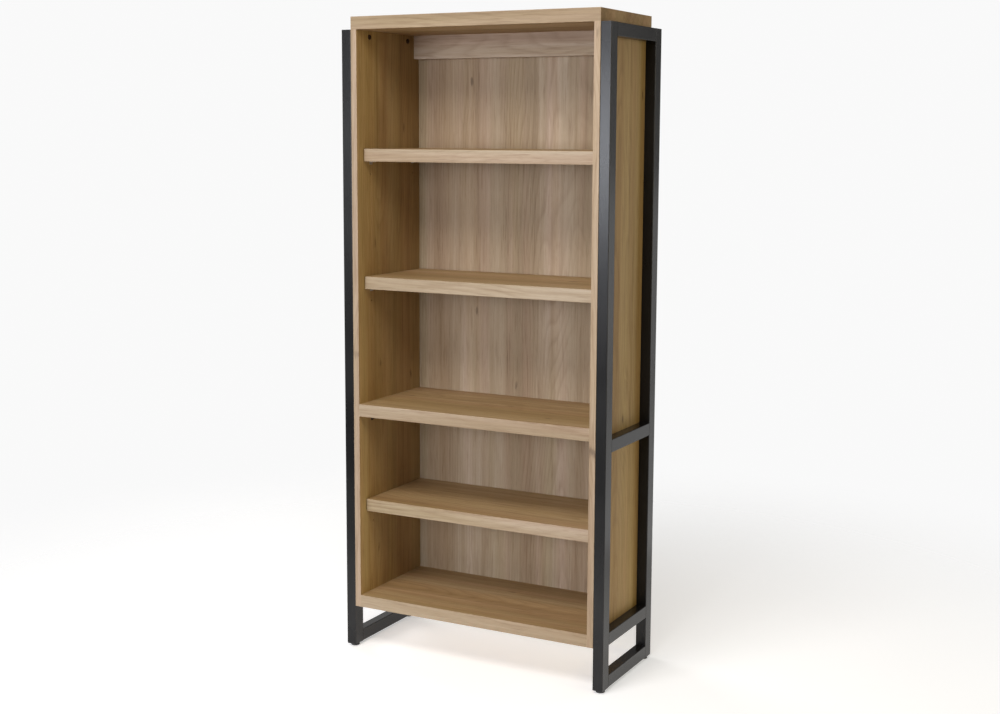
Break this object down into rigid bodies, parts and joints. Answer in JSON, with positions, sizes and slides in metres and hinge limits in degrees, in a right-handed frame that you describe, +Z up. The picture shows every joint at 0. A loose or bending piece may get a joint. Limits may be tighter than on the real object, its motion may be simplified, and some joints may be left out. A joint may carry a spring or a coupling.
{
  "type": "bookcase with adjustable shelves",
  "caption": "Tall open bookcase: a pale oak case with fixed and adjustable shelves on pins, bolted between black rectangular-tube side frames that stand on levelling feet.",
  "frame": {"origin": "on the floor, at the middle of the footprint", "axes": "+X to the right as seen from the open front, +Y from the open front to the back panel, +Z up"},
  "size_m": [0.813, 0.337, 1.8],
  "materials": {
    "oak_board": "satin oak-grain laminate on thick boards",
    "oak_back": "matte oak-grain print on a thin back board",
    "black_steel": "charcoal black powder coat",
    "dark_bronze": "dark bronze plated bolt heads",
    "zinc_steel": "zinc plated",
    "black_plastic": "moulded matte",
    "beech": "plain turned dowel"
  },
  "bodies": {
    "case": {"back_panel": "oak_back", "back_panel_nails": "zinc_steel", "bottom_panel": "oak_board", "cam_bolts": "zinc_steel", "cam_locks": "zinc_steel", "fixed_shelf": "oak_board", "foot_inserts": "black_plastic", "frame_bolts_lower": "dark_bronze", "frame_bolts_middle": "dark_bronze", "frame_bolts_top": "dark_bronze", "frame_left_bottom_rail": "black_steel", "frame_left_front_post": "black_steel", "frame_left_lower_rail": "black_steel", "frame_left_middle_rail": "black_steel", "frame_left_rear_post": "black_steel", "frame_left_top_rail": "black_steel", "frame_right_bottom_rail": "black_steel", "frame_right_front_post": "black_steel", "frame_right_lower_rail": "black_steel", "frame_right_middle_rail": "black_steel", "frame_right_rear_post": "black_steel", "frame_right_top_rail": "black_steel", "frame_weld_nuts": "zinc_steel", "side_panel_left": "oak_board", "side_panel_right": "oak_board", "top_back_rail": "oak_board", "top_panel": "oak_board", "wooden_dowels": "beech"},
    "shelf_lower": {"adjustable_shelf_lower": "oak_board"},
    "shelf_middle": {"adjustable_shelf_middle": "oak_board"},
    "shelf_upper": {"adjustable_shelf_upper": "oak_board"},
    "pin_lower_left_front": {"shelf_pin_lower_left_front": "zinc_steel"},
    "pin_lower_left_rear": {"shelf_pin_lower_left_rear": "zinc_steel"},
    "pin_lower_right_front": {"shelf_pin_lower_right_front": "zinc_steel"},
    "pin_lower_right_rear": {"shelf_pin_lower_right_rear": "zinc_steel"},
    "pin_middle_left_front": {"shelf_pin_middle_left_front": "zinc_steel"},
    "pin_middle_left_rear": {"shelf_pin_middle_left_rear": "zinc_steel"},
    "pin_middle_right_front": {"shelf_pin_middle_right_front": "zinc_steel"},
    "pin_middle_right_rear": {"shelf_pin_middle_right_rear": "zinc_steel"},
    "pin_upper_left_front": {"shelf_pin_upper_left_front": "zinc_steel"},
    "pin_upper_left_rear": {"shelf_pin_upper_left_rear": "zinc_steel"},
    "pin_upper_right_front": {"shelf_pin_upper_right_front": "zinc_steel"},
    "pin_upper_right_rear": {"shelf_pin_upper_right_rear": "zinc_steel"},
    "foot_pad_left_front": {"foot_pad_left_front": "black_plastic"},
    "foot_stem_left_front": {"foot_stem_left_front": "zinc_steel"},
    "foot_pad_left_rear": {"foot_pad_left_rear": "black_plastic"},
    "foot_stem_left_rear": {"foot_stem_left_rear": "zinc_steel"},
    "foot_pad_right_front": {"foot_pad_right_front": "black_plastic"},
    "foot_stem_right_front": {"foot_stem_right_front": "zinc_steel"},
    "foot_pad_right_rear": {"foot_pad_right_rear": "black_plastic"},
    "foot_stem_right_rear": {"foot_stem_right_rear": "zinc_steel"}
  },
  "joints": [
    {"name": "shelf_lift_lower", "type": "slide", "parent": "case", "child": "shelf_lower", "axis": [0, 0, 1], "range_m": [0, 0.224]},
    {"name": "shelf_lift_middle", "type": "slide", "parent": "case", "child": "shelf_middle", "axis": [0, 0, 1], "range_m": [0, 0.313]},
    {"name": "shelf_lift_upper", "type": "slide", "parent": "case", "child": "shelf_upper", "axis": [0, 0, 1], "range_m": [0, 0.257]},
    {"name": "pin_pull_lower_left_front", "type": "slide", "parent": "case", "child": "pin_lower_left_front", "axis": [1, 0, 0], "range_m": [0, 0.01]},
    {"name": "pin_pull_lower_left_rear", "type": "slide", "parent": "case", "child": "pin_lower_left_rear", "axis": [1, 0, 0], "range_m": [0, 0.01]},
    {"name": "pin_pull_lower_right_front", "type": "slide", "parent": "case", "child": "pin_lower_right_front", "axis": [-1, 0, 0], "range_m": [0, 0.01]},
    {"name": "pin_pull_lower_right_rear", "type": "slide", "parent": "case", "child": "pin_lower_right_rear", "axis": [-1, 0, 0], "range_m": [0, 0.01]},
    {"name": "pin_pull_middle_left_front", "type": "slide", "parent": "case", "child": "pin_middle_left_front", "axis": [1, 0, 0], "range_m": [0, 0.01]},
    {"name": "pin_pull_middle_left_rear", "type": "slide", "parent": "case", "child": "pin_middle_left_rear", "axis": [1, 0, 0], "range_m": [0, 0.01]},
    {"name": "pin_pull_middle_right_front", "type": "slide", "parent": "case", "child": "pin_middle_right_front", "axis": [-1, 0, 0], "range_m": [0, 0.01]},
    {"name": "pin_pull_middle_right_rear", "type": "slide", "parent": "case", "child": "pin_middle_right_rear", "axis": [-1, 0, 0], "range_m": [0, 0.01]},
    {"name": "pin_pull_upper_left_front", "type": "slide", "parent": "case", "child": "pin_upper_left_front", "axis": [1, 0, 0], "range_m": [0, 0.01]},
    {"name": "pin_pull_upper_left_rear", "type": "slide", "parent": "case", "child": "pin_upper_left_rear", "axis": [1, 0, 0], "range_m": [0, 0.01]},
    {"name": "pin_pull_upper_right_front", "type": "slide", "parent": "case", "child": "pin_upper_right_front", "axis": [-1, 0, 0], "range_m": [0, 0.01]},
    {"name": "pin_pull_upper_right_rear", "type": "slide", "parent": "case", "child": "pin_upper_right_rear", "axis": [-1, 0, 0], "range_m": [0, 0.01]},
    {"name": "foot_travel_left_front", "type": "slide", "parent": "case", "child": "foot_pad_left_front", "axis": [0, 0, -1], "range_m": [0, 0.015]},
    {"name": "foot_turn_left_front", "type": "hinge", "parent": "foot_pad_left_front", "child": "foot_stem_left_front", "pos_m": [-0.3915, -0.1485, 0.008], "axis": [0, 0, -1], "range_deg": [0, 4320]},
    {"name": "foot_travel_left_rear", "type": "slide", "parent": "case", "child": "foot_pad_left_rear", "axis": [0, 0, -1], "range_m": [0, 0.015]},
    {"name": "foot_turn_left_rear", "type": "hinge", "parent": "foot_pad_left_rear", "child": "foot_stem_left_rear", "pos_m": [-0.3915, 0.1485, 0.008], "axis": [0, 0, -1], "range_deg": [0, 4320]},
    {"name": "foot_travel_right_front", "type": "slide", "parent": "case", "child": "foot_pad_right_front", "axis": [0, 0, -1], "range_m": [0, 0.015]},
    {"name": "foot_turn_right_front", "type": "hinge", "parent": "foot_pad_right_front", "child": "foot_stem_right_front", "pos_m": [0.3915, -0.1485, 0.008], "axis": [0, 0, -1], "range_deg": [0, 4320]},
    {"name": "foot_travel_right_rear", "type": "slide", "parent": "case", "child": "foot_pad_right_rear", "axis": [0, 0, -1], "range_m": [0, 0.015]},
    {"name": "foot_turn_right_rear", "type": "hinge", "parent": "foot_pad_right_rear", "child": "foot_stem_right_rear", "pos_m": [0.3915, 0.1485, 0.008], "axis": [0, 0, -1], "range_deg": [0, 4320]}
  ],
  "couplings": [
    {"joint": "foot_travel_left_front", "follows": "foot_turn_left_front", "m_per_rad": 0.00019894},
    {"joint": "foot_travel_left_rear", "follows": "foot_turn_left_rear", "m_per_rad": 0.00019894},
    {"joint": "foot_travel_right_front", "follows": "foot_turn_right_front", "m_per_rad": 0.00019894},
    {"joint": "foot_travel_right_rear", "follows": "foot_turn_right_rear", "m_per_rad": 0.00019894}
  ]
}
